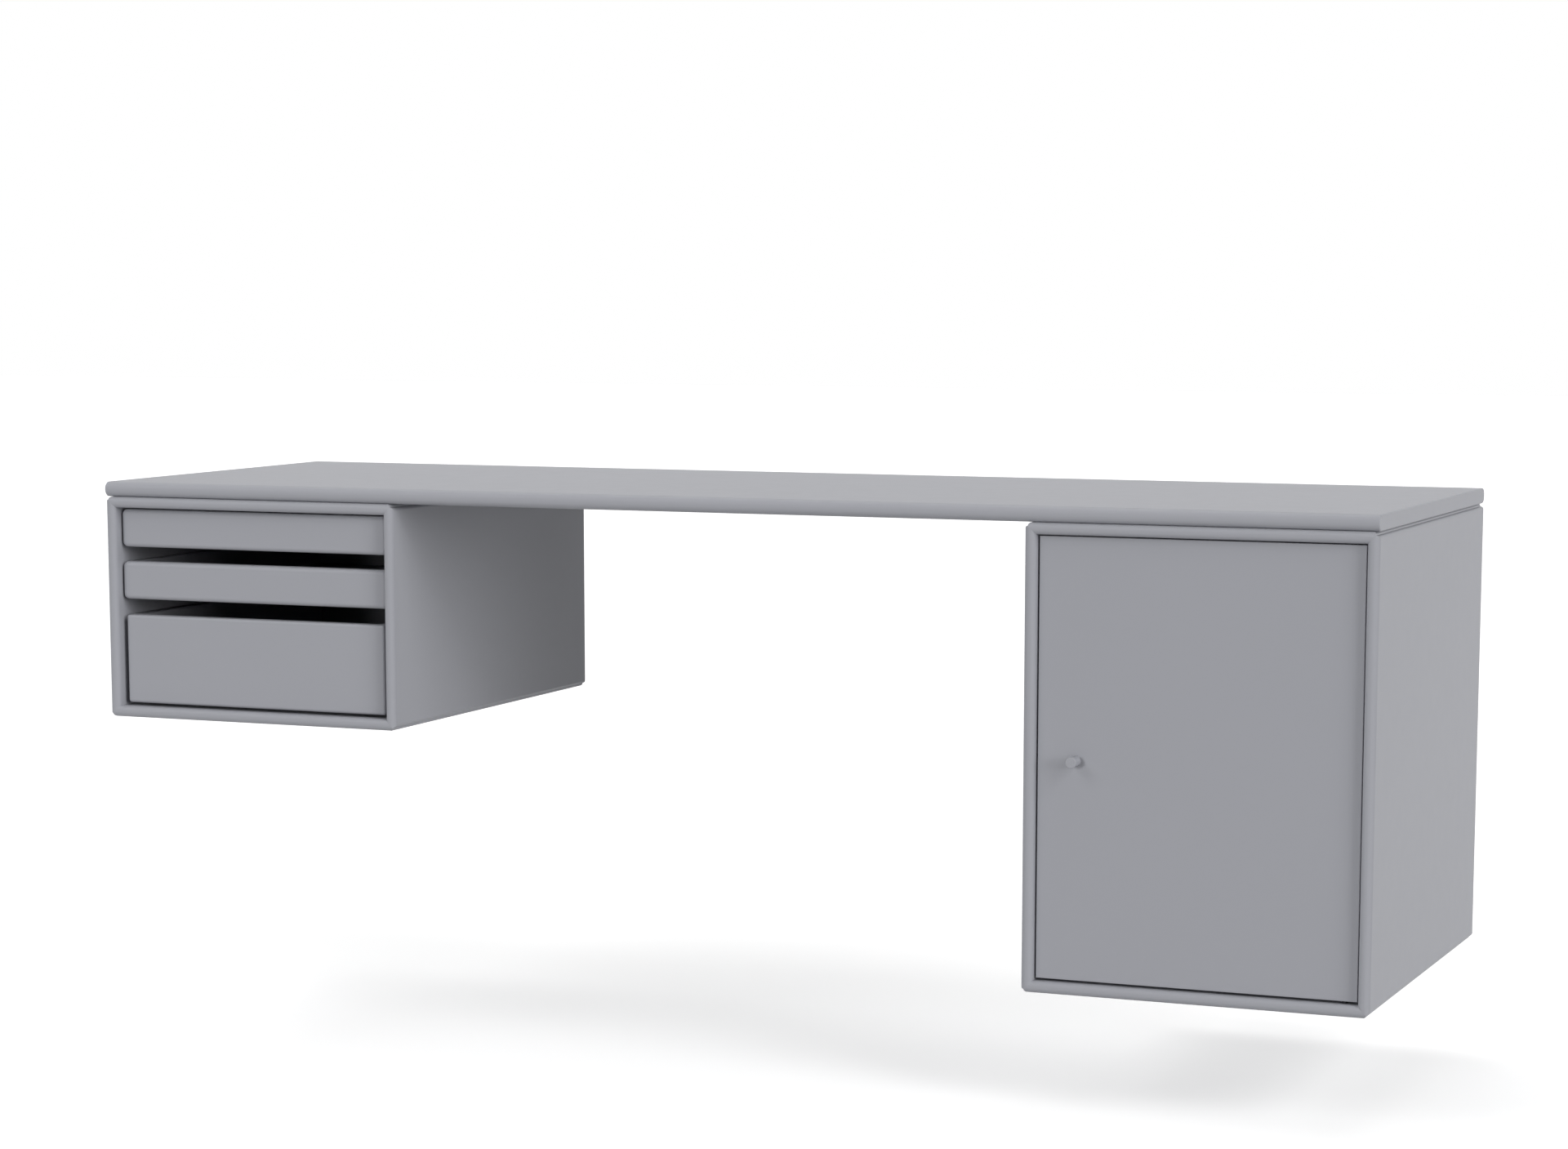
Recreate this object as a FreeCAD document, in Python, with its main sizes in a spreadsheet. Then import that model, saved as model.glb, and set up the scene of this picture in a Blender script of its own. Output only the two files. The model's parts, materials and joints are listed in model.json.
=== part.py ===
import FreeCAD, Part
import math
import os
import re

import Sketcher

# A desk that hangs on a wall. A long top lies on two cabinets: the left one
# holds two shallow trays and a drawer, the right one has an inset door.
# +X points right, the front faces -Y and +Z points up. The origin lies on the
# wall plane, at the middle of the back edge of the top.

# Driving sizes, in millimetres
SIZES = {
    # Whole desk
    "desk_width": 1410,
    "desk_depth": 468,
    # Top: round front and back edges, square ends
    "top_thickness": 16,
    "top_nose": 7.5,
    "top_arris": 0.8,
    # Cabinets: boards with a round front edge, mitred at the four corners
    "case_width": 354,
    "case_setback": 2,
    "left_case_height": 241,
    "right_case_height": 469,
    "board": 12,
    "board_nose": 5.5,
    "board_arris": 1,
    "end_round": 3.55,
    # Back panel, held in a groove of the four boards
    "back_panel": 8,
    "back_recess": 14,
    "back_groove": 4,
    "groove_gap": 0.1,
    # Loose tongue inside each mitre
    "spline_thickness": 2.5,
    "spline_width": 9,
    "spline_seat": 8.3,
    "spline_stop": 40,
    # Fits and overruns
    "fit_gap": 0.05,
    "overrun": 1,
    # Screws from the cabinets up into the top
    "top_screw_shank": 2,
    "top_screw_head": 4,
    "top_screw_head_height": 2.5,
    "top_screw_bite": 10,
    "top_screw_end_inset": 70,
    # Fronts of the trays and the drawer
    "front_setback": 10.5,
    "front_thickness": 12,
    "tray_side_gap": 1.4,
    "tray_top_gap": 1.9,
    "tray_height": 41.2,
    "tray_corner": 6,
    "tray_nose": 4.8,
    "tray_grip": 15.9,
    "drawer_side_gap": 5.2,
    "drawer_grip": 17.2,
    "drawer_bottom_gap": 3.1,
    "drawer_corner": 3.2,
    "drawer_nose": 3,
    # Walls and floors of the trays and the drawer
    "box_rear_gap": 12,
    "wall_round": 2,
    "tray_wall": 10,
    "tray_floor": 4,
    "tray_floor_lift": 5,
    "tray_floor_groove": 4,
    "drawer_wall": 12,
    "drawer_floor": 5,
    "drawer_floor_lift": 8,
    "drawer_floor_groove": 5,
    # Runner strips and the grooves that ride on them
    "runner_gap": 0.3,
    "runner_depth_gap": 0.5,
    "runner_stop": 12,
    "runner_rear_inset": 14,
    "runner_seat": 3,
    "tray_runner_height": 8,
    "tray_runner_groove": 5,
    "drawer_runner_height": 14,
    "drawer_runner_groove": 6,
    # Door
    "door_thickness": 12,
    "door_setback": 8,
    "door_side_gap": 1.65,
    "door_top_gap": 1.4,
    "door_bottom_gap": 2.4,
    "door_arris": 0.8,
    # Pivot pins of the door and their bushes
    "pin_inset": 14,
    "pin_radius": 2.5,
    "pin_in_door": 30,
    "pin_end_gap": 0.1,
    "bush_radius": 4,
    "bush_depth": 9,
    # Knob
    "knob_radius": 5.65,
    "knob_length": 15.5,
    "knob_arris": 0.6,
    "knob_inset": 39.2,
    "knob_screw_shank": 2,
    "knob_screw_head": 4,
    "knob_screw_head_height": 2.5,
    "knob_screw_bite": 9,
    # Magnetic catch and its strike plate
    "catch_width": 12,
    "catch_depth": 20,
    "catch_height": 40,
    "catch_gap": 0.3,
    "catch_drop": 77,
    "strike_thickness": 1,
    "strike_width": 12,
    "strike_inset": 1.5,
    # Shelf
    "shelf_front_inset": 32,
    "shelf_side_gap": 0.8,
    "shelf_rear_gap": 1,
    "shelf_pin_radius": 2.5,
    "shelf_pin_bite": 8,
    "shelf_pin_reach": 9,
    "shelf_pin_inset": 50,
    # Wall rails
    "rail_sheet": 2,
    "rail_offset": 5,
    "rail_lip": 14,
    "rail_flange": 32,
    "rail_drop": 18,
    "rail_end_gap": 10,
    "rail_hole_radius": 2.75,
    "rail_hole_inset": 45,
    "rail_hole_lift": 14,
    # Hangers that hook over the rails
    "hanger_sheet": 2,
    "hanger_width": 28,
    "hanger_hook": 12,
    "hanger_rear_gap": 0.5,
    "hanger_front_gap": 1.5,
    "hanger_flange": 44,
    "hanger_flange_depth": 11,
}

# Places and sizes that follow from the driving ones
PLACES = {
    "desk_left": "-desk_width / 2",
    "desk_right": "desk_width / 2",
    "desk_front": "-desk_depth",
    "case_top": "-top_thickness / 2",
    "case_back": "-case_setback",
    "case_depth": "desk_depth - case_setback",
    "case_ceiling": "case_top - board",
    "inner_width": "case_width - 2 * board",
    "left_case_left": "desk_left",
    "left_case_floor": "case_top - left_case_height",
    "right_case_left": "desk_right - case_width",
    "right_case_floor": "case_top - right_case_height",
    "panel_back": "case_back - back_recess",
    "panel_front": "panel_back - back_panel",
    # Tray and drawer fronts, from the top down
    "front_face": "desk_front + front_setback",
    "front_rear": "front_face + front_thickness",
    "box_rear": "panel_front - box_rear_gap",
    "upper_tray_top": "case_ceiling - tray_top_gap",
    "middle_tray_top": "upper_tray_top - tray_height - tray_grip",
    "drawer_top": "middle_tray_top - tray_height - drawer_grip",
    "drawer_height": "drawer_top - left_case_floor - board - drawer_bottom_gap",
    # Runners
    "runner_front": "front_rear + runner_stop",
    "runner_back": "box_rear - runner_rear_inset",
    "tray_runner": "tray_side_gap + tray_runner_groove - runner_depth_gap",
    "drawer_runner": "drawer_side_gap + drawer_runner_groove - runner_depth_gap",
    # Door, in the right cabinet
    "bay_left": "right_case_left + board",
    "bay_right": "desk_right - board",
    "bay_floor": "right_case_floor + board",
    "door_left": "bay_left + door_side_gap",
    "door_right": "bay_right - door_side_gap",
    "door_low": "bay_floor + door_bottom_gap",
    "door_high": "case_ceiling - door_top_gap",
    "door_face": "desk_front + door_setback",
    "door_rear": "door_face + door_thickness",
    "pin_x": "door_right - pin_inset",
    "pin_y": "door_face + door_thickness / 2",
    "pin_in_bush": "bush_depth - pin_end_gap",
    "knob_x": "door_left + knob_inset",
    "knob_z": "(right_case_floor + case_top) / 2",
    "catch_z": "case_ceiling - catch_drop",
    "shelf_low": "(bay_floor + case_ceiling - board) / 2",
    "shelf_front": "desk_front + shelf_front_inset",
    "shelf_back": "panel_front - shelf_rear_gap",
    "shelf_pin_z": "shelf_low - shelf_pin_radius - fit_gap",
    # Rails and hangers, seen from the side
    "rail_top": "case_ceiling - rail_drop",
    "rail_bend": "rail_top - rail_lip",
    "rail_lip_back": "-rail_offset",
    "rail_lip_front": "-rail_offset - rail_sheet",
    "hook_rear_back": "-rail_offset + hanger_rear_gap + hanger_sheet",
    "hook_rear_front": "-rail_offset + hanger_rear_gap",
    "hook_front_back": "rail_lip_front - hanger_front_gap",
    "hook_front_front": "rail_lip_front - hanger_front_gap - hanger_sheet",
}

# Which way an arc of an outline turns
LEFT = 1
RIGHT = -1

doc = FreeCAD.newDocument("wall_desk")

sheet = doc.addObject("Spreadsheet::Sheet", "Sizes")
for row, (alias, size) in enumerate(SIZES.items(), start=1):
    sheet.set(f"A{row}", alias.replace("_", " "))
    sheet.set(f"B{row}", str(size))
    sheet.setAlias(f"B{row}", alias)
doc.recompute()

# Every sub-part of the desk by its node name
nodes = {}


def words(text):
    """An expression in plain names, with every name led back to the sheet."""
    def known(match):
        name = match.group(0)
        if name in SIZES:
            return "Sizes." + name
        if name in PLACES:
            return "(" + words(PLACES[name]) + ")"
        return name
    return re.sub(r"[a-z_]+", known, text)


def number(text):
    """The present value of an expression in plain names."""
    return float(sheet.evalExpression(words(text)))


def bind(thing, prop, text):
    """Tie one property of an object to an expression in plain names."""
    thing.setExpression(prop, words(text))


def put(thing, x="0", y="0", z="0", axis=None, turn=0):
    """Give an object its place, after a turn about an axis in degrees."""
    if axis:
        thing.Placement = FreeCAD.Placement(FreeCAD.Vector(), FreeCAD.Rotation(axis, turn))
    for name, text in (("x", x), ("y", y), ("z", z)):
        bind(thing, f"Placement.Base.{name}", text)
    return thing


def box(name, x, y, z):
    """A block between pairs of places along X, Y and Z."""
    block = doc.addObject("Part::Box", name)
    for prop, (low, high) in (("Length", x), ("Width", y), ("Height", z)):
        bind(block, prop, f"({high}) - ({low})")
    return put(block, x[0], y[0], z[0])


X_AXIS = FreeCAD.Vector(1, 0, 0)
Y_AXIS = FreeCAD.Vector(0, 1, 0)
Z_AXIS = FreeCAD.Vector(0, 0, 1)

# The turn that lays a shape's Z along another axis
LAY = {"X": (Y_AXIS, 90), "Y": (X_AXIS, -90), "Z": (Z_AXIS, 0)}


def rod(name, along, x, y, z, radius, length):
    """A cylinder from a point along +X, +Y or +Z."""
    cylinder = doc.addObject("Part::Cylinder", name)
    bind(cylinder, "Radius", radius)
    bind(cylinder, "Height", length)
    axis, turn = LAY[along]
    return put(cylinder, x, y, z, axis, turn)


def group(name, members):
    """Separate solids under one name."""
    members = list(members)
    if len(members) == 1:
        return members[0]
    compound = doc.addObject("Part::Compound", name)
    compound.Links = members
    return compound


def cut(name, base, tools):
    """A shape with its holes and grooves taken out."""
    result = doc.addObject("Part::Cut", name)
    result.Base = base
    result.Tool = group(name + "_cuts", tools)
    return result


def fuse(name, members):
    """One solid from shapes that overlap."""
    result = doc.addObject("Part::MultiFuse", name)
    result.Shapes = list(members)
    return result


def keep(name, thing):
    """Make an object the sub-part of that name."""
    thing.Label = name
    nodes[name] = thing
    return thing


def arc_between(start, end, radius, sense):
    """An arc shorter than a half turn, and whether its ends swap places."""
    chord = end - start
    middle = (start + end) / 2
    rise = math.sqrt(max(radius ** 2 - (chord.Length / 2) ** 2, 0))
    side = FreeCAD.Vector(-chord.y, chord.x, 0).normalize() * rise * sense
    centre = middle + side
    first, last = (start, end) if sense == LEFT else (end, start)
    angles = [math.atan2(p.y - centre.y, p.x - centre.x) for p in (first, last)]
    circle = Part.Circle(centre, Z_AXIS, radius)
    return Part.ArcOfCircle(circle, angles[0], angles[1]), sense == RIGHT


def draw(sketch, outline):
    """Add one closed outline to a sketch and fix it with named sizes.

    A point is (across, up). With a radius and a sense after it, the edge that
    arrives there is an arc that turns left or right.
    """
    points = [FreeCAD.Vector(number(p[0]), number(p[1]), 0) for p in outline]
    ends = []
    for index, start in enumerate(points):
        goal = outline[(index + 1) % len(outline)]
        end = points[(index + 1) % len(points)]
        if len(goal) == 2:
            edge = sketch.addGeometry(Part.LineSegment(start, end), False)
            ends.append((edge, 1, 2))
            continue
        arc, swapped = arc_between(start, end, number(goal[2]), goal[3])
        edge = sketch.addGeometry(arc, False)
        limit = sketch.addConstraint(Sketcher.Constraint("Radius", edge, number(goal[2])))
        sketch.setExpression(f"Constraints[{limit}]", words(goal[2]))
        ends.append((edge, 2, 1) if swapped else (edge, 1, 2))
    for index, (edge, first, last) in enumerate(ends):
        following, next_first, _ = ends[(index + 1) % len(ends)]
        sketch.addConstraint(Sketcher.Constraint("Coincident", edge, last, following, next_first))
        for kind, place, value in (
            ("DistanceX", outline[index][0], points[index].x),
            ("DistanceY", outline[index][1], points[index].y),
        ):
            limit = sketch.addConstraint(Sketcher.Constraint(kind, -1, 1, edge, first, value))
            sketch.setExpression(f"Constraints[{limit}]", words(place))


def sketch_on(body, plane, outlines, start="0"):
    """A sketch in a body's XY, XZ or YZ plane, moved to a place across it."""
    sketch = body.newObject("Sketcher::SketchObject", body.Name + "_sketch")
    origin = next(f for f in body.Origin.OriginFeatures if f.Role == plane + "_Plane")
    sketch.AttachmentSupport = [(origin, "")]
    sketch.MapMode = "FlatFace"
    across = f"-({start})" if plane == "XZ" else start
    bind(sketch, "AttachmentOffset.Base.z", across)
    for outline in outlines:
        draw(sketch, outline)
    return sketch


def prism(name, plane, outline, start, length):
    """A body padded from an outline, towards +X, +Y or +Z."""
    body = doc.addObject("PartDesign::Body", name)
    pad = body.newObject("PartDesign::Pad", name + "_pad")
    pad.Profile = sketch_on(body, plane, [outline], start)
    bind(pad, "Length", length)
    pad.Reversed = plane == "XZ"
    return body


def pocket(body, plane, outlines, start="0", length=None):
    """Cut outlines out of a body, towards +X, +Y or +Z."""
    feature = body.newObject("PartDesign::Pocket", body.Name + "_pocket")
    feature.Profile = sketch_on(body, plane, outlines, start)
    feature.Reversed = plane != "XZ"
    if length:
        bind(feature, "Length", length)
    else:
        feature.Type = "ThroughAll"
    return feature


def spin(name, outline):
    """A body turned about Z from an outline in the XZ plane."""
    body = doc.addObject("PartDesign::Body", name)
    sketch = sketch_on(body, "XZ", [outline])
    turned = body.newObject("PartDesign::Revolution", name + "_turn")
    turned.Profile = sketch
    turned.ReferenceAxis = (sketch, ["V_Axis"])
    turned.Angle = 360
    return body


def face_towards(body, direction):
    """The name of the body's flat face that lies furthest in a direction."""
    doc.recompute()
    faces = body.Tip.Shape.Faces
    reach = [face.CenterOfMass.dot(direction) for face in faces]
    return f"Face{reach.index(max(reach)) + 1}"


def ease(body, directions, size, kind="Fillet"):
    """Fillet or chamfer all edges of the faces furthest in some directions."""
    names = [face_towards(body, direction) for direction in directions]
    base = body.Tip
    eased = body.newObject("PartDesign::" + kind, body.Name + "_eased")
    eased.Base = (base, names)
    bind(eased, "Radius" if kind == "Fillet" else "Size", size)
    return eased


def rectangle(low_x, high_x, low_y, high_y):
    """A square-cornered outline, drawn to the left."""
    return [(low_x, low_y), (high_x, low_y), (high_x, high_y), (low_x, high_y)]


def rounded_rectangle(low_x, high_x, low_y, high_y, radius):
    """An outline with its four corners rounded, drawn to the left."""
    return [
        (f"{low_x} + {radius}", low_y, radius, LEFT),
        (f"{high_x} - {radius}", low_y),
        (high_x, f"{low_y} + {radius}", radius, LEFT),
        (high_x, f"{high_y} - {radius}"),
        (f"{high_x} - {radius}", high_y, radius, LEFT),
        (f"{low_x} + {radius}", high_y),
        (low_x, f"{high_y} - {radius}", radius, LEFT),
        (low_x, f"{low_y} + {radius}"),
    ]


def nosed_edge(front, back, low, high, nose, arris):
    """The cross-section of a board with a round front edge, in YZ."""
    return [
        (f"{front} + {nose}", low, nose, LEFT),
        (f"{back} - {arris}", low),
        (back, f"{low} + {arris}", arris, LEFT),
        (back, f"{high} - {arris}"),
        (f"{back} - {arris}", high, arris, LEFT),
        (f"{front} + {nose}", high),
        (front, f"{high} - {nose}", nose, LEFT),
        (front, f"{low} + {nose}"),
    ]


def copy_to(name, master, x, y, z):
    """One more of a piece at another place."""
    copy = doc.addObject("App::Link", name)
    copy.LinkedObject = master
    return put(copy, x, y, z)


# Cabinet carcasses


def slot_outline(across, up, lean, gap):
    """The section of a tongue that crosses a mitre squarely."""
    reach = f"(spline_width / 2 + {gap}) / sqrt(2)"
    half = f"(spline_thickness / 2 + {gap}) / sqrt(2)"
    corners = (("+", "+", "+", "-"), ("+", "-", "+", "+"), ("-", "-", "-", "+"), ("-", "+", "-", "-"))
    points = []
    for run, offset, rise, drop in corners:
        sideways = f"{run} {reach} {offset} {half}"
        points.append((f"{across} {lean} ({sideways})", f"{up} {rise} {reach} {drop} {half}"))
    return points if lean == "+" else points[::-1]


def case_board(name, length):
    """A mitred board: its outer face up, its front at the origin."""
    ends = [
        ("2 * end_round", "0", "end_round", RIGHT),
        (f"{length} - 2 * end_round", "0"),
        (f"{length} - end_round", "-end_round", "end_round", RIGHT),
        (f"{length} - board", "-board"),
        ("board", "-board"),
        ("end_round", "-end_round"),
    ]
    body = prism(name, "XZ", ends, "0", "case_depth")
    around = rectangle("-overrun", "case_depth + overrun", "-board - overrun", "overrun")
    section = nosed_edge("0", "case_depth", "-board", "0", "board_nose", "board_arris")
    pocket(body, "YZ", [around, section])
    groove_front = "case_depth - back_recess - back_panel - groove_gap"
    groove_back = "case_depth - back_recess + groove_gap"
    groove = rectangle(groove_front, groove_back, "-board - overrun", "-board + back_groove")
    pocket(body, "YZ", [groove])
    slots = [
        slot_outline("spline_seat", "-spline_seat", "+", "groove_gap"),
        slot_outline(f"{length} - spline_seat", "-spline_seat", "-", "groove_gap"),
    ]
    pocket(body, "XZ", slots, "spline_stop", "case_depth - 2 * spline_stop")
    return body


def case(name, left, floor, height, holes):
    """Four mitred boards, the tongues in their mitres and the back panel."""
    right = f"{left} + case_width"
    boards = {
        "top": ("case_width", left, "case_top", 0),
        "bottom": ("case_width", right, floor, 180),
        "left_side": (height, left, floor, -90),
        "right_side": (height, right, "case_top", 90),
    }
    for board, (length, x, z, turn) in boards.items():
        node = f"{name}_{board}"
        tools = holes.get(board, [])
        body = case_board(node + "_blank" if tools else node, length)
        put(body, x, "desk_front", z, Y_AXIS, turn)
        keep(node, cut(node, body, tools) if tools else body)
    tongues = []
    corners = (
        ("left_high", f"{left} + spline_seat", "case_top - spline_seat", "+"),
        ("right_high", f"{right} - spline_seat", "case_top - spline_seat", "-"),
        ("left_low", f"{left} + spline_seat", f"{floor} + spline_seat", "-"),
        ("right_low", f"{right} - spline_seat", f"{floor} + spline_seat", "+"),
    )
    for corner, across, up, lean in corners:
        outline = slot_outline(across, up, lean, "0")
        start = "desk_front + spline_stop + groove_gap"
        length = "case_depth - 2 * (spline_stop + groove_gap)"
        tongues.append(prism(f"{name}_{corner}_tongue", "XZ", outline, start, length))
    splines = name.replace("case", "corner_splines")
    keep(splines, group(splines, tongues))
    edge = "back_groove - groove_gap"
    keep(f"{name}_back", box(
        f"{name}_back",
        (f"{left} + board - ({edge})", f"{right} - board + ({edge})"),
        ("panel_front", "panel_back"),
        (f"{floor} + board - ({edge})", f"case_ceiling + {edge}"),
    ))


# Trays and drawer


def slide_box(name, top, kind, gap):
    """A front, two walls, a back and a floor, open at the top."""
    low = f"({top} - {kind}_height)"
    left = f"(left_case_left + board + {gap})"
    right = f"(left_case_left + case_width - board - {gap})"
    wall = f"{kind}_wall"
    floor_low = f"({low} + {kind}_floor_lift)"
    floor_high = f"({floor_low} + {kind}_floor)"
    groove = f"{kind}_floor_groove"

    outline = rounded_rectangle(left, right, low, top, f"{kind}_corner")
    panel = prism(f"{name}_front_panel", "XZ", outline, "front_face", "front_thickness")
    ease(panel, [-Y_AXIS], f"{kind}_nose")
    floor_slot = box(
        f"{name}_front_slot",
        (f"{left} + {wall} - {groove}", f"{right} - {wall} + {groove}"),
        (f"front_rear - {groove}", "front_rear + overrun"),
        (floor_low, floor_high),
    )
    keep(f"{name}_front", cut(f"{name}_front", panel, [floor_slot]))

    middle = f"({top} - {kind}_height / 2)"
    half = f"({kind}_runner_height / 2 + runner_gap)"
    for side, outer, lean, turn in (("left", left, "+", RIGHT), ("right", right, "-", LEFT)):
        inner = f"({outer} {lean} {wall})"
        bottom_of_slot = f"({inner} {lean} (-{groove}))"
        section = [
            (outer, low),
            (outer, f"{top} - wall_round"),
            (f"{outer} {lean} wall_round", top, "wall_round", turn),
            (f"{inner} {lean} (-wall_round)", top),
            (inner, f"{top} - wall_round", "wall_round", turn),
            (inner, floor_high),
            (bottom_of_slot, floor_high),
            (bottom_of_slot, floor_low),
            (inner, floor_low),
            (inner, low),
        ]
        panel = prism(f"{name}_{side}_wall", "XZ", section, "front_rear", "box_rear - front_rear")
        open_side = f"{outer} {lean} (-overrun)"
        depth = f"{outer} {lean} {kind}_runner_groove"
        track = box(
            f"{name}_{side}_track",
            (open_side, depth) if side == "left" else (depth, open_side),
            ("runner_front - runner_gap", "box_rear + overrun"),
            (f"{middle} - {half}", f"{middle} + {half}"),
        )
        node = f"{name}_{side}_side"
        keep(node, cut(node, panel, [track]))

    keep(f"{name}_back", box(
        f"{name}_back",
        (f"{left} + {wall}", f"{right} - {wall}"),
        (f"box_rear - {wall}", "box_rear"),
        (floor_high, f"{top} - wall_round"),
    ))
    edge = f"({groove} - groove_gap)"
    keep(f"{name}_bottom", box(
        f"{name}_bottom",
        (f"{left} + {wall} - {edge}", f"{right} - {wall} + {edge}"),
        (f"front_rear - {edge}", "box_rear"),
        (floor_low, floor_high),
    ))


def runners(name, top, kind):
    """A pair of strips pressed into grooves of the cabinet sides."""
    middle = f"({top} - {kind}_height / 2)"
    half = f"{kind}_runner_height / 2"
    left_face = "left_case_left + board"
    right_face = "left_case_left + case_width - board"
    strips = []
    grooves = {}
    for side, foot, crest in (
        ("left", f"{left_face} - runner_seat", f"{left_face} + {kind}_runner"),
        ("right", f"{right_face} + runner_seat", f"{right_face} - {kind}_runner"),
    ):
        strips.append(box(
            f"{name}_{side}_runner",
            (foot, crest) if side == "left" else (crest, foot),
            ("runner_front", "runner_back"),
            (f"{middle} - {half}", f"{middle} + {half}"),
        ))
        grooves[side] = box(
            f"{name}_{side}_runner_seat",
            (f"{foot} - fit_gap", crest) if side == "left" else (crest, f"{foot} + fit_gap"),
            ("runner_front - fit_gap", "runner_back + fit_gap"),
            (f"{middle} - {half} - fit_gap", f"{middle} + {half} + fit_gap"),
        )
    keep(f"{name}_runners", group(f"{name}_runners", strips))
    return grooves


# Wall fixing


def wall_fixing(name, left):
    """A rail for the wall and the two hangers that hook over it."""
    inner_left = f"({left} + board)"
    inner_right = f"({left} + case_width - board)"
    flange_low = "(rail_bend - rail_sheet - rail_flange)"
    section = [
        ("-rail_sheet", flange_low),
        ("0", flange_low),
        ("0", "rail_bend"),
        ("rail_lip_back", "rail_bend"),
        ("rail_lip_back", "rail_top"),
        ("rail_lip_front", "rail_top"),
        ("rail_lip_front", "rail_bend - rail_sheet"),
        ("-rail_sheet", "rail_bend - rail_sheet"),
    ]
    length = "inner_width - 2 * rail_end_gap"
    strip = prism(f"{name}_rail_strip", "YZ", section, f"{inner_left} + rail_end_gap", length)
    wall_holes = []
    for side, place in (
        ("left", f"{inner_left} + rail_end_gap + rail_hole_inset"),
        ("right", f"{inner_right} - rail_end_gap - rail_hole_inset"),
    ):
        wall_holes.append(rod(
            f"{name}_{side}_wall_hole", "Y", place, "-rail_sheet - overrun",
            f"{flange_low} + rail_hole_lift", "rail_hole_radius", "rail_sheet + 2 * overrun",
        ))
    keep(f"{name}_wall_rail", cut(f"{name}_wall_rail", strip, wall_holes))

    hook = [
        ("hook_front_front", "rail_top - hanger_hook"),
        ("hook_front_back", "rail_top - hanger_hook"),
        ("hook_front_back", "rail_top"),
        ("hook_rear_front", "rail_top"),
        ("hook_rear_front", "rail_top - hanger_hook"),
        ("hook_rear_back", "rail_top - hanger_hook"),
        ("hook_rear_back", "rail_top + hanger_sheet"),
        ("hook_front_front", "rail_top + hanger_sheet"),
    ]
    hangers = []
    for side, x in (("left", inner_left), ("right", inner_right)):
        start = x if side == "left" else f"{x} - hanger_width"
        arm = prism(f"{name}_{side}_hook", "YZ", hook, start, "hanger_width")
        flange = box(
            f"{name}_{side}_flange",
            (x, f"{x} + hanger_sheet") if side == "left" else (f"{x} - hanger_sheet", x),
            ("hook_rear_front - hanger_flange_depth", "hook_rear_front"),
            ("rail_top + hanger_sheet - hanger_flange", "rail_top + hanger_sheet"),
        )
        hangers.append(fuse(f"{name}_{side}_hanger", [arm, flange]))
    keep(f"{name}_hangers", group(f"{name}_hangers", hangers))


# Screws that hold the top on the cabinets, turned from below

screw_length = "(board + top_screw_bite)"
top_screw = spin("top_screw_master", [
    ("0", "-top_screw_head_height"),
    ("top_screw_head", "-top_screw_head_height"),
    ("top_screw_head", "0"),
    ("top_screw_shank", "0"),
    ("top_screw_shank", screw_length),
    ("0", screw_length),
])
top_screws = []
top_holes = {"left": [], "right": []}
for case_name, case_left in (("left", "left_case_left"), ("right", "right_case_left")):
    for end, y in (
        ("front", "desk_front + top_screw_end_inset"),
        ("rear", "case_back - top_screw_end_inset"),
    ):
        name = f"{case_name}_{end}_top_screw"
        x = f"{case_left} + case_width / 2"
        top_screws.append(copy_to(name, top_screw, x, y, "case_ceiling"))
        top_holes[case_name].append(rod(
            name + "_hole", "Z", x, y, "case_ceiling - overrun",
            "top_screw_shank + fit_gap", f"{screw_length} + overrun + fit_gap",
        ))
keep("top_screws", group("top_screws", top_screws))

# Top

top_edge = rounded_rectangle("desk_front", "0", "-top_thickness / 2", "top_thickness / 2", "top_nose")
slab = prism("top_slab", "YZ", top_edge, "desk_left", "desk_width")
ease(slab, [-X_AXIS, X_AXIS], "top_arris", "Chamfer")
keep("desk_top", cut("desk_top", slab, top_holes["left"] + top_holes["right"]))

# Left cabinet with its runners, trays and drawer

left_holes = {"top": top_holes["left"], "left_side": [], "right_side": []}
for name, top, kind in (
    ("upper_tray", "upper_tray_top", "tray"),
    ("middle_tray", "middle_tray_top", "tray"),
    ("drawer", "drawer_top", "drawer"),
):
    grooves = runners(name, top, kind)
    left_holes["left_side"].append(grooves["left"])
    left_holes["right_side"].append(grooves["right"])
    slide_box(name, top, kind, f"{kind}_side_gap")
wall_fixing("left", "left_case_left")
case("left_case", "left_case_left", "left_case_floor", "left_case_height", left_holes)

# Right cabinet: hinge bushes, shelf pins, wall fixing and carcass

wall_fixing("right", "right_case_left")
right_holes = {"top": top_holes["right"], "bottom": [], "left_side": [], "right_side": []}
bushes = []
for level, board, base, seat in (
    ("upper", "top", "case_ceiling", "case_ceiling - overrun"),
    ("lower", "bottom", "bay_floor - bush_depth", "bay_floor - bush_depth - fit_gap"),
):
    ring = rod(f"{level}_bush_ring", "Z", "pin_x", "pin_y", base, "bush_radius", "bush_depth")
    bore = rod(
        f"{level}_bush_bore", "Z", "pin_x", "pin_y", f"{base} - overrun",
        "pin_radius + fit_gap", "bush_depth + 2 * overrun",
    )
    bushes.append(cut(f"{level}_hinge_bush", ring, [bore]))
    right_holes[board].append(rod(
        f"{level}_bush_seat", "Z", "pin_x", "pin_y", seat,
        "bush_radius + fit_gap", "bush_depth + overrun + fit_gap",
    ))
keep("hinge_bushes", group("hinge_bushes", bushes))

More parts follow.
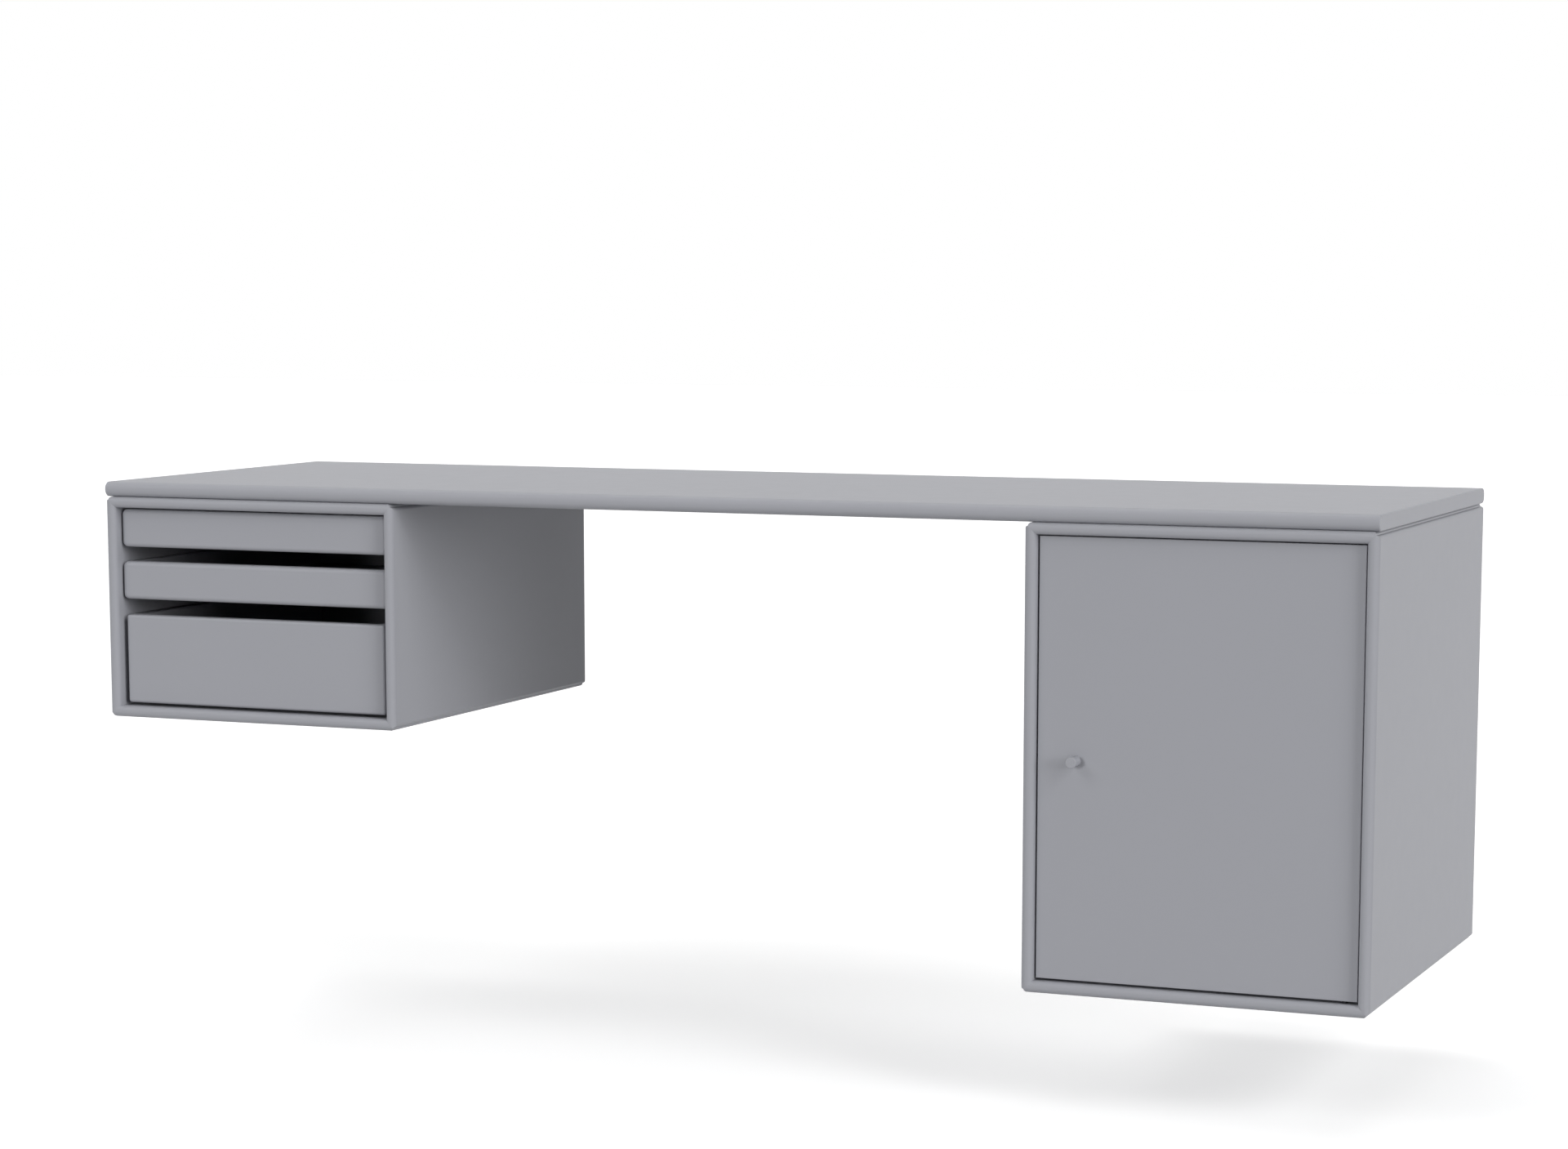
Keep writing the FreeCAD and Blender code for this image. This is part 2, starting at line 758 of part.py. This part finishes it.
shelf_pins = []
for side, x in (("left", "bay_left - shelf_pin_bite"), ("right", "bay_right - shelf_pin_reach")):
    for end, y in (("front", "shelf_front + shelf_pin_inset"), ("rear", "shelf_back - shelf_pin_inset")):
        name = f"{side}_{end}_shelf_pin"
        length = "shelf_pin_bite + shelf_pin_reach"
        shelf_pins.append(rod(name, "X", x, y, "shelf_pin_z", "shelf_pin_radius", length))
        hole_start = f"{x} - fit_gap" if side == "left" else x
        right_holes[f"{side}_side"].append(rod(
            name + "_hole", "X", hole_start, y, "shelf_pin_z",
            "shelf_pin_radius + fit_gap", f"{length} + fit_gap",
        ))
keep("shelf_pins", group("shelf_pins", shelf_pins))

case("right_case", "right_case_left", "right_case_floor", "right_case_height", right_holes)

shelf_edge = nosed_edge(
    "shelf_front", "shelf_back", "shelf_low", "shelf_low + board", "board_nose", "board_arris",
)
keep("cabinet_shelf", prism(
    "cabinet_shelf", "YZ", shelf_edge, "bay_left + shelf_side_gap", "inner_width - 2 * shelf_side_gap",
))

catch_span = ("catch_z - catch_height / 2", "catch_z + catch_height / 2")
keep("magnet_catch", box(
    "magnet_catch", ("bay_left", "bay_left + catch_width"),
    ("door_rear + catch_gap", "door_rear + catch_gap + catch_depth"), catch_span,
))

# Door with its strike plate, pivot pins and knob

door_blank = prism(
    "door_blank", "XZ", rectangle("door_left", "door_right", "door_low", "door_high"),
    "door_face", "door_thickness",
)
ease(door_blank, [-Y_AXIS, Y_AXIS], "door_arris")
strike_x = ("door_left + strike_inset", "door_left + strike_inset + strike_width")
strike_y = ("door_rear - strike_thickness", "door_rear")
keep("strike_plate", box("strike_plate", strike_x, strike_y, catch_span))

knob_shank = rod(
    "knob_screw_shank", "Y", "knob_x", "door_face - knob_screw_bite", "knob_z",
    "knob_screw_shank", "knob_screw_bite + door_thickness",
)
knob_head = rod(
    "knob_screw_head", "Y", "knob_x", "door_rear", "knob_z", "knob_screw_head", "knob_screw_head_height",
)
keep("knob_screw", fuse("knob_screw", [knob_shank, knob_head]))
knob_hole = rod(
    "knob_screw_hole", "Y", "knob_x", "door_face - knob_screw_bite - fit_gap", "knob_z",
    "knob_screw_shank + fit_gap", "knob_screw_bite + door_thickness + overrun + fit_gap",
)
pin_holes = []
for level, edge, gap in (
    ("upper", "door_high", "door_top_gap"),
    ("lower", "door_low", "door_bottom_gap"),
):
    if level == "upper":
        low = f"{edge} - pin_in_door"
        hole_low = f"{low} - fit_gap"
    else:
        low = f"{edge} - {gap} - pin_in_bush"
        hole_low = f"{edge} - overrun"
    keep(f"{level}_hinge_pin", rod(
        f"{level}_pin", "Z", "pin_x", "pin_y", low, "pin_radius", f"pin_in_door + {gap} + pin_in_bush",
    ))
    pin_holes.append(rod(
        f"{level}_pin_hole", "Z", "pin_x", "pin_y", hole_low,
        "pin_radius + fit_gap", "pin_in_door + overrun + fit_gap",
    ))
strike_recess = box("strike_recess", strike_x, (strike_y[0], "door_rear + overrun"), catch_span)
keep("door_panel", cut("door_panel", door_blank, pin_holes + [knob_hole, strike_recess]))

knob_peg = spin("knob_peg", [
    ("0", "0"),
    ("knob_radius", "0"),
    ("knob_radius", "knob_length - knob_arris"),
    ("knob_radius - knob_arris", "knob_length"),
    ("0", "knob_length"),
])
put(knob_peg, "knob_x", "door_face", "knob_z", X_AXIS, 90)
keep("door_knob", cut("door_knob", knob_peg, [knob_hole]))

# Check every object, then write the sub-parts

doc.recompute()
failed = [o.Label for o in doc.Objects if "Invalid" in o.State or "Error" in o.State]
if failed:
    raise RuntimeError("these objects failed: " + ", ".join(failed))
for name, thing in nodes.items():
    if thing.Shape.isNull() or not thing.Shape.isValid() or not thing.Shape.Solids:
        raise RuntimeError("this sub-part has no sound shape: " + name)

os.makedirs("parts", exist_ok=True)
for name, thing in nodes.items():
    thing.Shape.exportStep(f"parts/{name}.step")
    volume = round(thing.Shape.Volume / 1000, 2)
    print(name, len(thing.Shape.Solids), "solid(s),", volume, "cubic centimetres")
print(len(nodes), "sub-parts")
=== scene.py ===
import json
import math

import bmesh
import bpy
from mathutils import Matrix, Vector

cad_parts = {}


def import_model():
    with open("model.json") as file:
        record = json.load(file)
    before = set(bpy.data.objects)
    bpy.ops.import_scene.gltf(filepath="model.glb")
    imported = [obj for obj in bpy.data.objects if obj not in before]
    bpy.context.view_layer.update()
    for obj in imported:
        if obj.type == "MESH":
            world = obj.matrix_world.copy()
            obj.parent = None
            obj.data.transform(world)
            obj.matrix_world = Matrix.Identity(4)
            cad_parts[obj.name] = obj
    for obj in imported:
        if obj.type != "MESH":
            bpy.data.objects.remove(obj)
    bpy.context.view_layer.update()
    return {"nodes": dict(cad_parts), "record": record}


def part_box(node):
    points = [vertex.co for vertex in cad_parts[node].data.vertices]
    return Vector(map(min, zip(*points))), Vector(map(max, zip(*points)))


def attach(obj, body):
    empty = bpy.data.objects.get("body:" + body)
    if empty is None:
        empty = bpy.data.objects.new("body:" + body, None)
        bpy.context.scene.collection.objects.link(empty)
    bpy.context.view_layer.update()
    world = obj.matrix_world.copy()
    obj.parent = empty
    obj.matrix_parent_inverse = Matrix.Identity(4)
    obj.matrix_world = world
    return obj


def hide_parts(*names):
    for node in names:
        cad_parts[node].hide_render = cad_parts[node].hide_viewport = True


# Looks of a wall-hung desk: satin grey lacquer on every board, beech tongues in
# the mitres, zinc-plated screws, hangers and rails, blackened hinge pins, and
# plastic runners, bushes and catch. Lengths are in metres.

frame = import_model()

MM = 0.001
WHITE = (1, 1, 1)

# Camera, fitted to the edges of the desk in the photograph: its place, its turn
# and its downward tilt in radians, and its lens and optical axis in pixels
CAMERA_PLACE = (1.5202202, -3.8888832, 0.2403875)
CAMERA_TURN = 0.39444809
CAMERA_TILT = 0.13857390
CAMERA_REACH = 100
IMAGE_WIDTH = 1920
IMAGE_HEIGHT = 1407
FOCAL_PIXELS = 4507.34
AXIS_ROW = 954.6024
SENSOR_MM = 36

# Stage. The floor is darker for scattered light than for the camera, so that it
# throws no more light up at the desk than it should
FLOOR_Z = -0.595
FLOOR_SIZE = 40
FLOOR_GREY = 0.55
FLOOR_SEEN_GREY = 0.9
FLOOR_GLOW = 0.505

# Far softboxes: height above the horizon, bearing from the front towards the
# right, apparent width in degrees, and strength
SOFTBOXES = {
    "right_high": (36, 67, 26, 0.955),
    "right_low": (11, 67, 24, 1.100),
    "right_side": (11, 90, 24, 0.220),
    "front_low": (6, 345, 12, 1.125),
    "front_left_high": (36, 315, 26, 0.580),
    "back_left_top": (62, 225, 30, 0.604),
    "overhead": (90, 0, 40, 0.395),
    "back_high": (36, 180, 26, 0.085),
    "back_low": (5, 181, 8, 0.550),
    "left_fill": (11, 270, 24, 0.400),
}

# Lamps lower than this many degrees don't shine in the gloss, or they would
# glare off the top when it is seen against them
GLOSSY_FROM = 15

# Colours, as linear values
LACQUER = (0.345, 0.350, 0.380)
BEECH_PALE = (0.62, 0.42, 0.24)
BEECH_DARK = (0.47, 0.29, 0.15)
RUNNER_GREY = (0.26, 0.265, 0.28)
BUSH_GREY = (0.07, 0.07, 0.075)
CATCH_GREY = (0.035, 0.035, 0.038)
ZINC = (0.42, 0.43, 0.44)
DARK_STEEL = (0.028, 0.028, 0.030)

# Screws: how finely they are turned, then shares of the head's height, of the
# socket's radius, of the shank's radius and of the pitch
SCREW_SIDES = 36
DOME_STEPS = 6
SOCKET_CORNERS = 6
RIM_OF_HEAD = 0.35
FLOOR_OF_HEAD = 0.35
MOUTH_OF_SOCKET = 1.25
PITCH_OF_SHANK = 0.7
ROOT_OF_SHANK = 0.78
TIP_OF_SHANK = 0.6
FIRST_THREAD = 0.4
THREAD_WIDTH = 0.7
TIP_TAPER = 0.3

# The top's screws and the knob's are alike, and the hangers' are smaller
TOP_SCREW = {
    "shank": 2 * MM, "head": 4 * MM, "head_height": 2.5 * MM, "socket": 1.5 * MM,
}
HANGER_SCREW = {
    "shank": 1.5 * MM, "head": 3.2 * MM, "head_height": 1.8 * MM, "socket": 1.1 * MM,
}
HANGER_SCREW_LENGTH = 10 * MM
HANGER_SHEET = 2 * MM

# A hanger's screws: how far below its upper edge, and their place in its depth
HANGER_SCREW_DROPS = (24 * MM, 38 * MM)
HANGER_SCREW_DEPTH = 0.42

# Edges sharper than this many degrees stay crisp under smooth shading
CRISP_ANGLE = 35

# Corners of a solid's mesh that are this close are one corner
WELD = 0.001 * MM


# Materials


class Graph:
    """A material's node tree, with short calls to add and join nodes."""

    def __init__(self, name):
        self.material = bpy.data.materials.new(name)
        self.material.use_nodes = True
        self.tree = self.material.node_tree
        self.tree.nodes.clear()
        self.output = self.add("ShaderNodeOutputMaterial")

    def add(self, kind, **inputs):
        node = self.tree.nodes.new(kind)
        for name, value in inputs.items():
            self.feed(node.inputs[name.replace("_", " ")], value)
        return node

    def feed(self, socket, value):
        """Join a socket to another, or give it a number or a colour."""
        if isinstance(value, bpy.types.NodeSocket):
            self.tree.links.new(value, socket)
        elif socket.type == "RGBA":
            socket.default_value = (*value, 1)
        else:
            socket.default_value = value

    def place(self, stretch=(1, 1, 1)):
        """Object coordinates in metres, times a factor along each axis."""
        coordinates = self.add("ShaderNodeTexCoord").outputs["Object"]
        mapping = self.add("ShaderNodeMapping", Vector=coordinates, Scale=stretch)
        return mapping.outputs["Vector"]

    def noise(self, vector, scale, detail=3, roughness=0.5):
        node = self.add(
            "ShaderNodeTexNoise",
            Vector=vector, Scale=scale, Detail=detail, Roughness=roughness,
        )
        return node.outputs["Fac"]

    def span(self, value, low, high):
        """A value from 0 to 1 spread between two others."""
        node = self.add("ShaderNodeMapRange", Value=value, To_Min=low, To_Max=high)
        return node.outputs["Result"]

    def blend(self, share, low, high):
        """A colour between two colours."""
        node = self.add("ShaderNodeMix")
        node.data_type = "RGBA"
        self.feed(node.inputs["Factor"], share)
        ends = [s for s in node.inputs if s.type == "RGBA"]
        for socket, colour in zip(ends, (low, high)):
            self.feed(socket, colour)
        return [s for s in node.outputs if s.type == "RGBA"][0]

    def bump(self, height, strength, distance, **under):
        node = self.add(
            "ShaderNodeBump",
            Height=height, Strength=strength, Distance=distance, **under,
        )
        return node.outputs["Normal"]

    def mix_shaders(self, share, first, second):
        """The first shader where the share is 0, and the second where it is 1."""
        node = self.add("ShaderNodeMixShader")
        for socket, source in zip(node.inputs, (share, first, second)):
            self.feed(socket, source)
        return node.outputs["Shader"]

    def show(self, surface):
        self.feed(self.output.inputs["Surface"], surface)
        return self.material

    def finish(self, **inputs):
        shader = self.add("ShaderNodeBsdfPrincipled", **inputs)
        return self.show(shader.outputs["BSDF"])


def tint(colour, factor):
    return tuple(min(c * factor, 1) for c in colour)


def shades(colour, dark, light):
    """A colour made darker by one factor and lighter by another."""
    return tint(colour, dark), tint(colour, light)


def lacquer(name, colour, roughness):
    """Sprayed satin lacquer: a faint orange peel and barely uneven colour."""
    g = Graph(name)
    metres = g.place()
    cloud = g.noise(metres, scale=7, detail=2)
    speck = g.noise(metres, scale=900, detail=2)
    peel = g.noise(metres, scale=650, detail=2, roughness=0.4)
    wave = g.noise(metres, scale=38, detail=2)
    cloudy = g.blend(cloud, *shades(colour, dark=0.985, light=1.015))
    speckled = g.blend(speck, *shades(colour, dark=0.98, light=1.02))
    soft = g.bump(wave, strength=0.12, distance=0.12 * MM)
    return g.finish(
        Base_Color=g.blend(share=0.5, low=cloudy, high=speckled),
        Roughness=g.span(g.noise(metres, scale=60), *roughness),
        Normal=g.bump(peel, strength=0.10, distance=0.03 * MM, Normal=soft),
        Specular_IOR_Level=0.2,
    )


def beech(name):
    """Planed beech with its long grain along the desk's depth."""
    g = Graph(name)
    grain = g.noise(g.place(stretch=(60, 4, 60)), scale=6, detail=5, roughness=0.6)
    flecks = g.noise(g.place(stretch=(400, 30, 400)), scale=4, detail=2)
    plain = g.blend(grain, BEECH_PALE, BEECH_DARK)
    fleck_share = g.span(flecks, low=0, high=0.35)
    return g.finish(
        Base_Color=g.blend(fleck_share, plain, tint(BEECH_DARK, factor=0.8)),
        Roughness=g.span(flecks, low=0.55, high=0.7),
        Normal=g.bump(grain, strength=0.3, distance=0.1 * MM),
    )


def plastic(name, colour, grain_scale, roughness):
    """Moulded plastic with a fine spark-eroded grain."""
    g = Graph(name)
    metres = g.place()
    grain = g.noise(metres, grain_scale, roughness=0.6)
    cloud = g.noise(metres, scale=25, detail=2)
    return g.finish(
        Base_Color=g.blend(cloud, *shades(colour, dark=0.94, light=1.06)),
        Roughness=g.span(grain, *roughness),
        Normal=g.bump(grain, strength=0.25, distance=0.05 * MM),
    )


def zinc(name):
    """Zinc plate on drawn steel, with a dull and cloudy passivated surface."""
    g = Graph(name)
    spangle = g.noise(g.place(), scale=120, roughness=0.6)
    lines = g.noise(g.place(stretch=(30, 900, 900)), scale=2, detail=2)
    return g.finish(
        Base_Color=g.blend(spangle, *shades(ZINC, dark=0.86, light=1.08)),
        Metallic=1.0,
        Roughness=g.span(lines, low=0.38, high=0.52),
        Normal=g.bump(lines, strength=0.12, distance=0.03 * MM),
    )


def dark_steel(name):
    """Blackened steel, dry and a little blotchy."""
    g = Graph(name)
    blotch = g.noise(g.place(), scale=400, detail=4, roughness=0.6)
    return g.finish(
        Base_Color=g.blend(blotch, *shades(DARK_STEEL, dark=0.7, light=1.5)),
        Metallic=0.4,
        Roughness=g.span(blotch, low=0.50, high=0.66),
        Normal=g.bump(blotch, strength=0.15, distance=0.03 * MM),
    )


# A pair in a call here is the least and the greatest roughness
MATERIALS = {
    "lacquered_board": lacquer("satin_lacquer", LACQUER, (0.42, 0.48)),
    "lacquered_knob": lacquer("knob_lacquer", LACQUER, (0.39, 0.45)),
    "beech": beech("planed_beech"),
    "runner_plastic": plastic("runner_plastic", RUNNER_GREY, 1400, (0.39, 0.53)),
    "bush_plastic": plastic("bush_plastic", BUSH_GREY, 1800, (0.34, 0.48)),
    "catch_plastic": plastic("catch_plastic", CATCH_GREY, 1200, (0.44, 0.58)),
    "zinc_steel": zinc("zinc_plate"),
    "dark_steel": dark_steel("blackened_steel"),
}
SLOT_OF = {part["node"]: part["material_slot"] for part in frame["record"]["subparts"]}


def dress_frame():
    """Give every CAD node the material of its slot."""
    for name, thing in frame["nodes"].items():
        for slot in thing.material_slots:
            slot.material = MATERIALS[SLOT_OF[name]]


# Small fasteners that the frame leaves plain or leaves out


def circle(radius, height, sides):
    """Points around Z at a height, from +X on."""
    angles = [2 * math.pi * side / sides for side in range(sides)]
    return [(radius * math.cos(a), radius * math.sin(a), height) for a in angles]


def lathe(mesh, profile, sides):
    """Turn (radius, height) points about Z into faces, and return the first ring."""
    rings = []
    for radius, height in profile:
        points = circle(radius, height, sides if radius else 1)
        rings.append([mesh.verts.new(point) for point in points])
    for low, high in zip(rings, rings[1:]):
        for side in range(sides):
            after = (side + 1) % sides
            corners = [low[side % len(low)], low[after % len(low)]]
            corners += [high[after % len(high)], high[side % len(high)]]
            mesh.faces.new(list(dict.fromkeys(corners)))
    return rings[0]


def screw_mesh(name, shank, head, head_height, length, socket):
    """A screw along +Z from its domed head below 0, with a hexagon socket."""
    mesh = bmesh.new()

    rim = head_height * RIM_OF_HEAD
    mouth_radius = socket * MOUTH_OF_SOCKET
    dome = []
    for step in range(DOME_STEPS + 1):
        angle = math.pi / 2 * step / DOME_STEPS
        radius = head - (head - mouth_radius) * (1 - math.cos(angle))
        dome.append((radius, -rim - (head_height - rim) * math.sin(angle)))
    profile = dome[::-1] + [(head, 0), (shank, 0)]

    pitch = shank * PITCH_OF_SHANK
    root = shank * ROOT_OF_SHANK
    for turn in range(int((length - pitch) / pitch)):
        start = pitch * (turn + FIRST_THREAD)
        crest = start + pitch * THREAD_WIDTH / 2
        profile += [(root, start), (shank, crest), (root, start + pitch * THREAD_WIDTH)]
    profile += [(shank * TIP_OF_SHANK, length - pitch * TIP_TAPER), (0, length)]

    mouth = lathe(mesh, profile, SCREW_SIDES)
    floor_height = -head_height * FLOOR_OF_HEAD
    lip = [mesh.verts.new(p) for p in circle(socket, -head_height, SOCKET_CORNERS)]
    well = [mesh.verts.new(p) for p in circle(socket, floor_height, SOCKET_CORNERS)]
    share = SCREW_SIDES // SOCKET_CORNERS
    for corner in range(SOCKET_CORNERS):
        after = (corner + 1) % SOCKET_CORNERS
        first = corner * share
        arc = [mouth[(first + step) % SCREW_SIDES] for step in range(share + 1)]
        for step in range(share):
            near = lip[corner] if step < share / 2 else lip[after]
            mesh.faces.new([arc[step], near, arc[step + 1]])
        mesh.faces.new([arc[(share + 1) // 2], lip[corner], lip[after]])
        mesh.faces.new([lip[corner], well[corner], well[after], lip[after]])
    mesh.faces.new(well)

    bmesh.ops.recalc_face_normals(mesh, faces=mesh.faces)
    data = bpy.data.meshes.new(name)
    mesh.to_mesh(data)
    mesh.free()
    for polygon in data.polygons:
        polygon.use_smooth = True
    return data


def add_piece(name, data, body, slot, matrix):
    """Put a mesh in the scene, dressed and carried by a body."""
    piece = bpy.data.objects.new(name, data)
    bpy.context.scene.collection.objects.link(piece)
    piece.matrix_world = matrix
    data.materials.append(MATERIALS[slot])
    edges = piece.modifiers.new("crisp_edges", "EDGE_SPLIT")
    edges.split_angle = math.radians(CRISP_ANGLE)
    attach(piece, body)
    return piece


def boxes_of_solids(node, count):
    """The lowest and highest corner of each separate solid of a node."""
    mesh = bmesh.new()
    mesh.from_mesh(frame["nodes"][node].data)
    bmesh.ops.remove_doubles(mesh, verts=mesh.verts, dist=WELD)
    left = set(mesh.verts)
    found = []
    while left:
        island = {left.pop()}
        front = set(island)
        while front:
            front = {e.other_vert(v) for v in front for e in v.link_edges} - island
            island |= front
        left -= island
        low = Vector([min(v.co[i] for v in island) for i in range(3)])
        high = Vector([max(v.co[i] for v in island) for i in range(3)])
        found.append((low, high))
    mesh.free()
    if len(found) != count:
        raise RuntimeError(f"{node} has {len(found)} solids and not {count}")
    return sorted(found, key=lambda b: tuple(b[0]))


def top_screws():
    """Socket screws that hold the top, in place of the plain ones."""
    solids = boxes_of_solids("top_screws", count=4)
    for index, (low, high) in enumerate(solids, start=1):
        length = high.z - low.z - TOP_SCREW["head_height"]
        data = screw_mesh(f"top_screw_{index}", length=length, **TOP_SCREW)
        middle = ((low.x + high.x) / 2, (low.y + high.y) / 2)
        place = Matrix.Translation((*middle, low.z + TOP_SCREW["head_height"]))
        piece = add_piece(f"top_screw_{index}", data, "root", "zinc_steel", place)
        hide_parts("top_screws")


def knob_screw():
    """The screw through the door into the knob, its head inside the cabinet."""
    low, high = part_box("knob_screw")
    length = high.y - low.y - TOP_SCREW["head_height"]
    data = screw_mesh("knob_screw_socket", length=length, **TOP_SCREW)
    neck = high.y - TOP_SCREW["head_height"]
    middle = ((low.x + high.x) / 2, neck, (low.z + high.z) / 2)
    place = Matrix.Translation(middle) @ Matrix.Rotation(math.pi / 2, 4, "X")
    piece = add_piece("knob_screw_socket", data, "door", "zinc_steel", place)
    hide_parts("knob_screw")


def hanger_screws():
    """Two screws through the side flange of each hanger."""
    for node in ("left_hangers", "right_hangers"):
        solids = boxes_of_solids(node, count=2)
        for side, (low, high) in zip(("left", "right"), solids):
            inward = 1 if side == "left" else -1
            face = low.x + HANGER_SHEET if side == "left" else high.x - HANGER_SHEET
            middle = low.y + (high.y - low.y) * HANGER_SCREW_DEPTH
            for row, drop in enumerate(HANGER_SCREW_DROPS, start=1):
                name = f"{node[:-1]}_{side}_screw_{row}"
                data = screw_mesh(name, length=HANGER_SCREW_LENGTH, **HANGER_SCREW)
                turn = Matrix.Rotation(-inward * math.pi / 2, 4, "Y")
                place = Matrix.Translation((face, middle, high.z - drop)) @ turn
                add_piece(name, data, "root", "zinc_steel", place)


# Stage, light and camera


def seen_directly(tree):
    """1 where the camera, a mirror or glass looks, and 0 for scattered light."""
    path = tree.nodes.new("ShaderNodeLightPath")
    seen = path.outputs["Is Camera Ray"]
    for kind in ("Is Glossy Ray", "Is Transmission Ray"):
        either = tree.nodes.new("ShaderNodeMath")
        either.operation = "MAXIMUM"
        tree.links.new(seen, either.inputs[0])
        tree.links.new(path.outputs[kind], either.inputs[1])
        seen = either.outputs[0]
    return seen


def floor():
    """A pale floor that looks white apart from the desk's shadow.

    From below it is clear, so the underside of the desk can be looked at.
    """
    g = Graph("pale_floor")
    bounce = g.add("ShaderNodeBsdfDiffuse", Color=(FLOOR_GREY,) * 3)
    matt = g.add("ShaderNodeBsdfDiffuse", Color=(FLOOR_SEEN_GREY,) * 3)
    glow = g.add("ShaderNodeEmission", Color=WHITE, Strength=FLOOR_GLOW)
    shown = g.add("ShaderNodeAddShader")
    g.feed(shown.inputs[0], matt.outputs["BSDF"])
    g.feed(shown.inputs[1], glow.outputs["Emission"])
    above = g.mix_shaders(
        seen_directly(g.tree), bounce.outputs["BSDF"], shown.outputs["Shader"]
    )
    clear = g.add("ShaderNodeBsdfTransparent", Color=WHITE)
    from_below = g.add("ShaderNodeNewGeometry").outputs["Backfacing"]
    material = g.show(g.mix_shaders(from_below, above, clear.outputs["BSDF"]))

    data = bpy.data.meshes.new("floor")
    half = FLOOR_SIZE / 2
    square = ((-half, -half), (half, -half), (half, half), (-half, half))
    data.from_pydata([(x, y, FLOOR_Z) for x, y in square], [], [(0, 1, 2, 3)])
    data.materials.append(material)
    plane = bpy.data.objects.new("floor", data)
    bpy.context.scene.collection.objects.link(plane)


def world():
    """A white background, which lights nothing by scattered light."""
    sky = bpy.data.worlds.new("studio")
    bpy.context.scene.world = sky
    sky.use_nodes = True
    tree = sky.node_tree
    tree.nodes.clear()
    backdrop = tree.nodes.new("ShaderNodeBackground")
    backdrop.inputs["Color"].default_value = (*WHITE, 1)
    tree.links.new(seen_directly(tree), backdrop.inputs["Strength"])
    out = tree.nodes.new("ShaderNodeOutputWorld")
    tree.links.new(backdrop.outputs["Background"], out.inputs["Surface"])


def softboxes():
    """Soft lamps so far away that they light the whole desk evenly."""
    for name, (height, bearing, width, strength) in SOFTBOXES.items():
        lamp = bpy.data.lights.new(name, "SUN")
        lamp.energy = strength
        lamp.angle = math.radians(width)
        holder = bpy.data.objects.new(name, lamp)
        holder.visible_glossy = height >= GLOSSY_FROM
        bpy.context.scene.collection.objects.link(holder)
        up, around = math.radians(height), math.radians(bearing)
        right, front = math.cos(up) * math.sin(around), math.cos(up) * math.cos(around)
        towards = Vector((right, -front, math.sin(up)))
        holder.rotation_euler = (-towards).to_track_quat("-Z", "Y").to_euler()


def camera():
    """The photograph's camera, level from side to side."""
    data = bpy.data.cameras.new("camera")
    data.sensor_width = SENSOR_MM
    data.lens = SENSOR_MM * FOCAL_PIXELS / IMAGE_WIDTH
    data.shift_y = (AXIS_ROW - IMAGE_HEIGHT / 2) / IMAGE_WIDTH
    data.clip_end = CAMERA_REACH
    holder = bpy.data.objects.new("camera", data)
    bpy.context.scene.collection.objects.link(holder)
    holder.location = CAMERA_PLACE
    holder.rotation_euler = (math.pi / 2 - CAMERA_TILT, 0, CAMERA_TURN)
    bpy.context.scene.camera = holder


dress_frame()
top_screws()
knob_screw()
hanger_screws()
floor()
world()
softboxes()
camera()

bpy.context.scene.view_settings.view_transform = "Standard"

bpy.context.view_layer.update()
